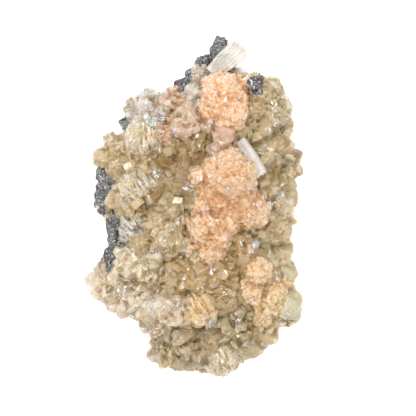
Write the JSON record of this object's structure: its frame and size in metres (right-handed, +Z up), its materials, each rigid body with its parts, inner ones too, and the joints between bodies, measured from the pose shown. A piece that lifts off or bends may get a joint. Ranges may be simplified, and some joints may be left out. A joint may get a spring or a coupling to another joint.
{
  "type": "stellerite with heulandite mineral specimen",
  "caption": "Hand-sized mineral specimen: peach crystal balls and fluted rosettes with glassy crystals on an olive and cream crystal crust over dark broken basalt.",
  "frame": {"origin": "centre of the specimen's box on the surface it rests on", "axes": "+Y along the specimen towards its narrow top end, +Z up out of the cut back of the rock, +X to the right seen from above"},
  "size_m": [0.0702, 0.112, 0.0318],
  "materials": {
    "basalt": "rough broken basalt, dark purple-brown with a teal-grey skin",
    "druse": "sugary translucent crystals, olive in the hollows and cream at the tips",
    "peach_stellerite": "drusy translucent crystals, orange in the hollows and peach at the tips",
    "cream_stellerite": "pearly fluted plates",
    "olive_crystal": "vitreous, translucent olive-brown",
    "clear_heulandite": "vitreous to pearly, faintly tinted and see-through"
  },
  "bodies": {
    "root": {"basalt_matrix": "basalt", "heulandite_crust": "druse", "stellerite_ball_upper": "peach_stellerite", "stellerite_ball_middle": "peach_stellerite", "stellerite_ball_lower_right": "peach_stellerite", "stellerite_rosette_lower": "peach_stellerite", "stellerite_rosette_olive": "olive_crystal", "stellerite_rosette_left": "cream_stellerite", "stellerite_rosette_upper_left": "cream_stellerite", "stellerite_rosette_bottom": "cream_stellerite", "stellerite_rosette_shell": "cream_stellerite", "heulandite_sheaf_top": "clear_heulandite", "heulandite_blade_middle": "clear_heulandite", "heulandite_tablet_peach": "peach_stellerite", "heulandite_tablet_tan": "olive_crystal", "heulandite_wedge_right": "olive_crystal", "heulandite_crystal_green": "olive_crystal", "heulandite_crystal_lower_right": "clear_heulandite", "heulandite_leaf_left": "olive_crystal", "heulandite_prism_right": "clear_heulandite", "heulandite_prism_lower": "clear_heulandite"}
  },
  "joints": []
}
